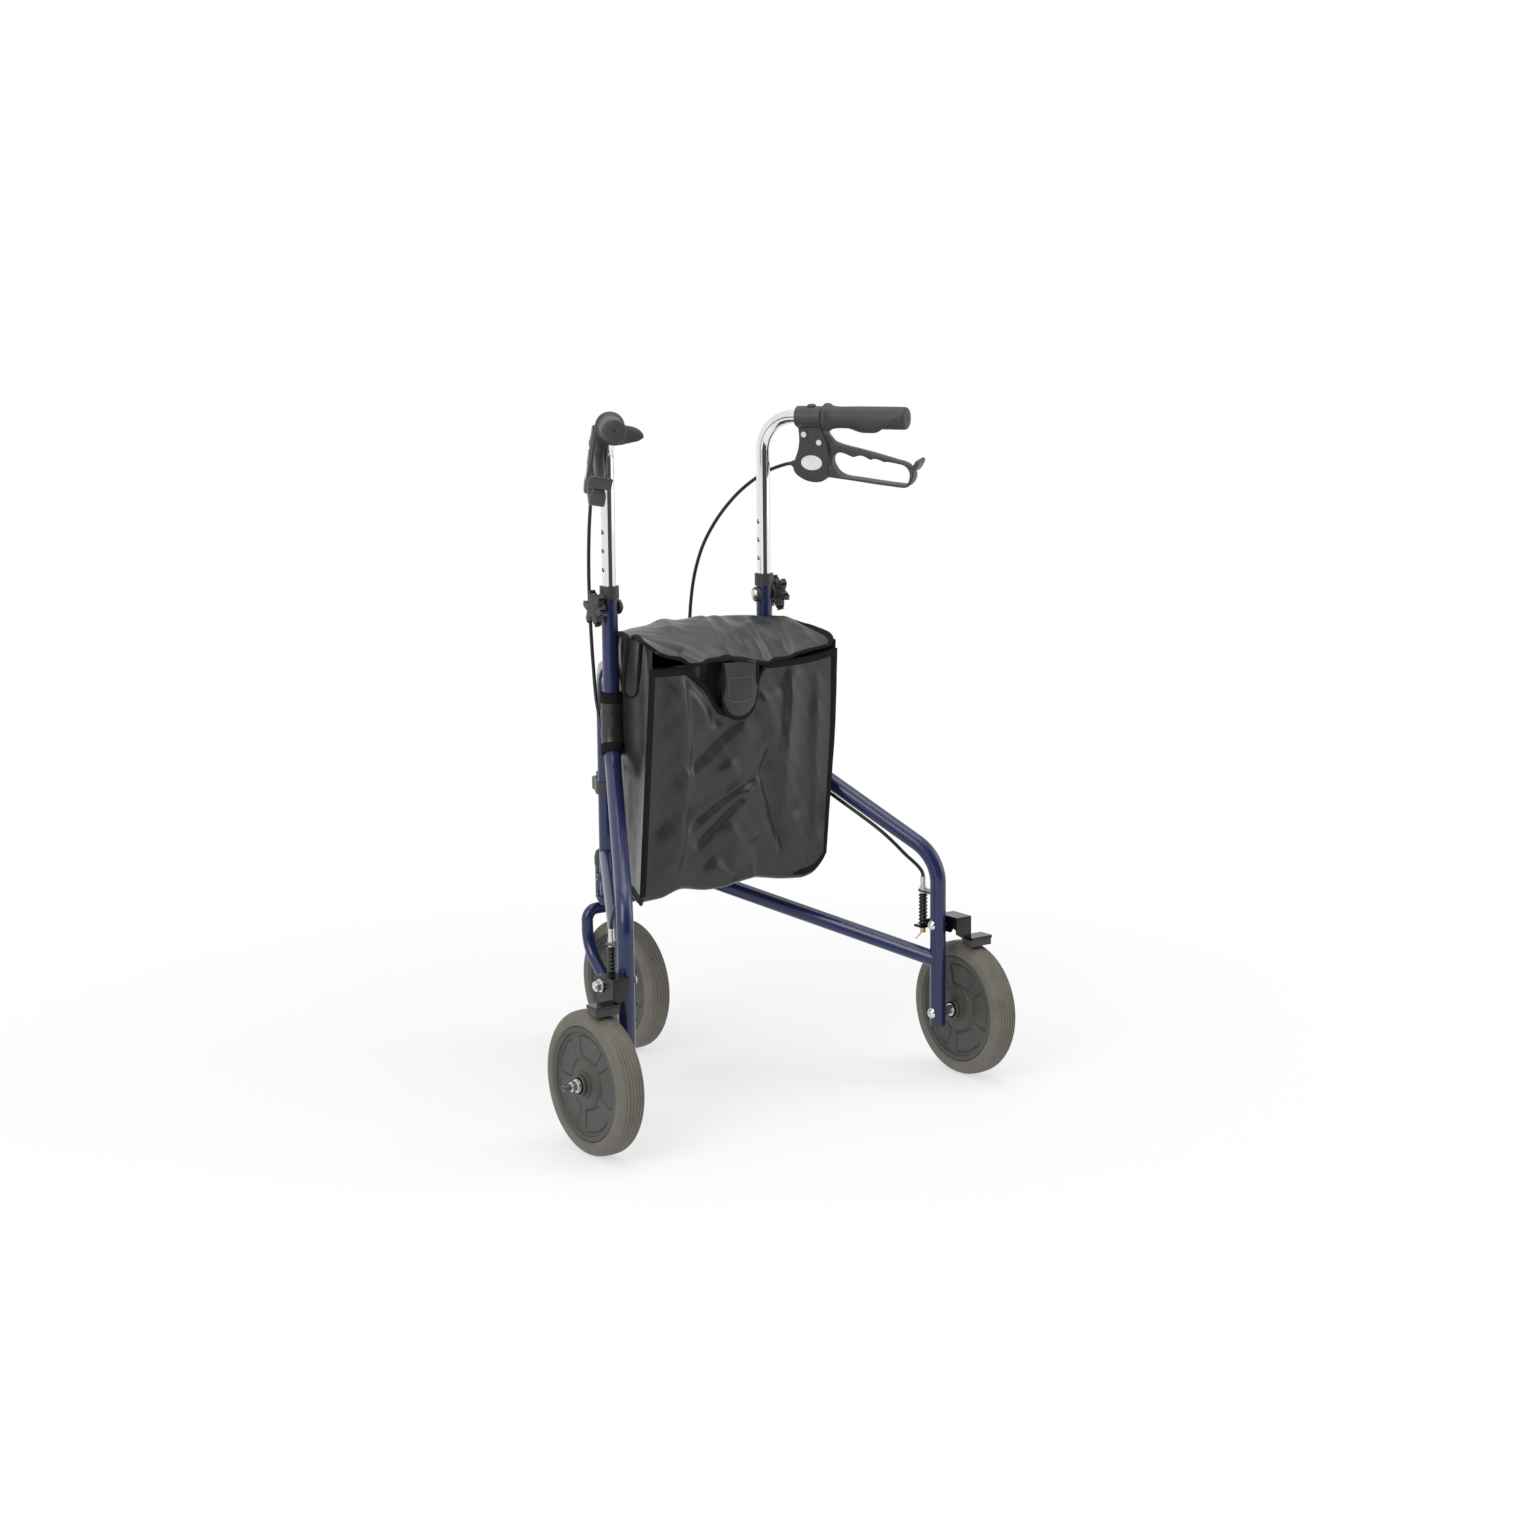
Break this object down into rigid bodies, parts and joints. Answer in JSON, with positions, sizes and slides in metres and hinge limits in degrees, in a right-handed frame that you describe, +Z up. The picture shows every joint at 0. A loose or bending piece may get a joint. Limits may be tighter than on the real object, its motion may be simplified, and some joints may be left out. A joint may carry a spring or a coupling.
{
  "type": "three wheel rollator",
  "caption": "Folding tubular walking frame on castor and fixed wheels, with raised hand grips, loop brakes and a lidded bag between its side frames.",
  "frame": {"origin": "on the floor, in the middle plane, midway between the front axle and the rear axles", "axes": "+X to the right of the person who walks behind it, +Y in the direction of travel, +Z up"},
  "size_m": [0.7112, 0.5932, 0.9395],
  "materials": {
    "frame_paint": "gloss",
    "chrome": "polished",
    "bright_steel": "zinc plated",
    "black_plastic": "satin",
    "black_paint": "satin",
    "hub_plastic": "satin",
    "tyre": "matte",
    "grip_rubber": "matte",
    "cable_jacket": "satin",
    "boot_rubber": "matte",
    "brass": "satin",
    "bag_vinyl": "satin"
  },
  "bodies": {
    "front_head": {"head_bracket": "frame_paint", "pivot_bushes": "black_plastic", "upper_link": "black_plastic", "link_bolt": "black_plastic", "head_cap": "black_plastic", "head_bushes": "black_plastic", "bag_body": "bag_vinyl"},
    "fork": {"fork": "frame_paint", "front_axle": "bright_steel"},
    "front_wheel": {"front_hub": "hub_plastic", "front_tyre": "tyre", "front_bearings": "bright_steel"},
    "bag_lid": {"bag_lid": "bag_vinyl"},
    "left_frame": {"left_main_tube": "frame_paint", "left_front_tube": "frame_paint", "left_lower_bar": "frame_paint", "left_collar": "black_plastic", "left_height_bolt": "bright_steel", "left_brake_cable": "cable_jacket", "left_cable_adjuster": "bright_steel", "left_boot": "boot_rubber", "left_brake_pivot": "bright_steel", "left_axle": "bright_steel", "left_bag_side": "bag_vinyl"},
    "left_wheel": {"left_hub": "hub_plastic", "left_tyre": "tyre", "left_bearings": "bright_steel"},
    "left_handle": {"left_handle_tube": "chrome", "left_grip": "grip_rubber", "left_brake_housing": "black_plastic", "left_housing_rivets": "bright_steel"},
    "left_lever": {"left_lever": "black_plastic"},
    "left_brake_arm": {"left_brake_arm": "black_paint", "left_brake_shoe": "boot_rubber", "left_cable_anchor": "brass"},
    "left_knob": {"left_knob": "black_plastic"},
    "right_frame": {"right_main_tube": "frame_paint", "right_front_tube": "frame_paint", "right_lower_bar": "frame_paint", "right_collar": "black_plastic", "right_height_bolt": "bright_steel", "right_brake_cable": "cable_jacket", "right_cable_adjuster": "bright_steel", "right_boot": "boot_rubber", "right_brake_pivot": "bright_steel", "right_axle": "bright_steel", "right_bag_side": "bag_vinyl"},
    "right_wheel": {"right_hub": "hub_plastic", "right_tyre": "tyre", "right_bearings": "bright_steel"},
    "right_handle": {"right_handle_tube": "chrome", "right_grip": "grip_rubber", "right_brake_housing": "black_plastic", "right_housing_rivets": "bright_steel"},
    "right_lever": {"right_lever": "black_plastic"},
    "right_brake_arm": {"right_brake_arm": "black_paint", "right_brake_shoe": "boot_rubber", "right_cable_anchor": "brass"},
    "right_knob": {"right_knob": "black_plastic"}
  },
  "joints": [
    {"name": "front_swivel", "type": "hinge", "parent": "front_head", "child": "fork", "pos_m": [0, 0.2566, 0.25], "axis": [0, 0, 1], "continuous": true},
    {"name": "front_wheel_spin", "type": "hinge", "parent": "fork", "child": "front_wheel", "pos_m": [0, 0.2016, 0.095], "axis": [1, 0, 0], "continuous": true},
    {"name": "left_fold", "type": "hinge", "parent": "front_head", "child": "left_frame", "pos_m": [-0.018, 0.2186, 0.3], "axis": [0, 0, 1], "range_deg": [0, 25], "deforming": ["bag_body", "bag_lid"]},
    {"name": "left_wheel_spin", "type": "hinge", "parent": "left_frame", "child": "left_wheel", "pos_m": [-0.30757, -0.2016, 0.095], "axis": [1, 0, 0], "continuous": true},
    {"name": "left_handle_height", "type": "slide", "parent": "left_frame", "child": "left_handle", "axis": [0, 0, 1], "range_m": [-0.1016, 0.0508], "deforming": ["left_brake_cable"]},
    {"name": "left_lever_squeeze", "type": "hinge", "parent": "left_handle", "child": "left_lever", "pos_m": [-0.18231, -0.03994, 0.88684], "axis": [-0.8575, 0.4901, 0.1564], "range_deg": [0, 14], "stiffness_Nm_per_rad": 1.5, "springref_deg": -14.32},
    {"name": "left_brake_turn", "type": "hinge", "parent": "left_frame", "child": "left_brake_arm", "pos_m": [-0.25817, -0.2016, 0.221], "axis": [1, 0, 0], "range_deg": [0, 7], "deforming": ["left_boot"]},
    {"name": "left_knob_turn", "type": "hinge", "parent": "left_frame", "child": "left_knob", "pos_m": [-0.12816, 0.02586, 0.673], "axis": [1, 0, 0], "continuous": true},
    {"name": "right_fold", "type": "hinge", "parent": "front_head", "child": "right_frame", "pos_m": [0.018, 0.2186, 0.3], "axis": [0, 0, 1], "range_deg": [-25, 0]},
    {"name": "right_wheel_spin", "type": "hinge", "parent": "right_frame", "child": "right_wheel", "pos_m": [0.30757, -0.2016, 0.095], "axis": [1, 0, 0], "continuous": true},
    {"name": "right_handle_height", "type": "slide", "parent": "right_frame", "child": "right_handle", "axis": [0, 0, 1], "range_m": [-0.1016, 0.0508], "deforming": ["right_brake_cable"]},
    {"name": "right_lever_squeeze", "type": "hinge", "parent": "right_handle", "child": "right_lever", "pos_m": [0.18231, -0.03994, 0.88684], "axis": [-0.8575, -0.4901, -0.1564], "range_deg": [0, 14], "stiffness_Nm_per_rad": 1.5, "springref_deg": -14.32},
    {"name": "right_brake_turn", "type": "hinge", "parent": "right_frame", "child": "right_brake_arm", "pos_m": [0.25817, -0.2016, 0.221], "axis": [1, 0, 0], "range_deg": [0, 7], "deforming": ["right_boot"]},
    {"name": "right_knob_turn", "type": "hinge", "parent": "right_frame", "child": "right_knob", "pos_m": [0.12816, 0.02586, 0.673], "axis": [1, 0, 0], "continuous": true},
    {"name": "bag_lid_hinge", "type": "hinge", "parent": "front_head", "child": "bag_lid", "pos_m": [0, 0.10314, 0.61537], "axis": [-1, 0, 0], "range_deg": [0, 75]}
  ],
  "couplings": [
    {"joint": "right_fold", "follows": "left_fold", "ratio": -1},
    {"joint": "left_brake_turn", "follows": "left_lever_squeeze", "ratio": 0.5},
    {"joint": "right_brake_turn", "follows": "right_lever_squeeze", "ratio": 0.5}
  ]
}
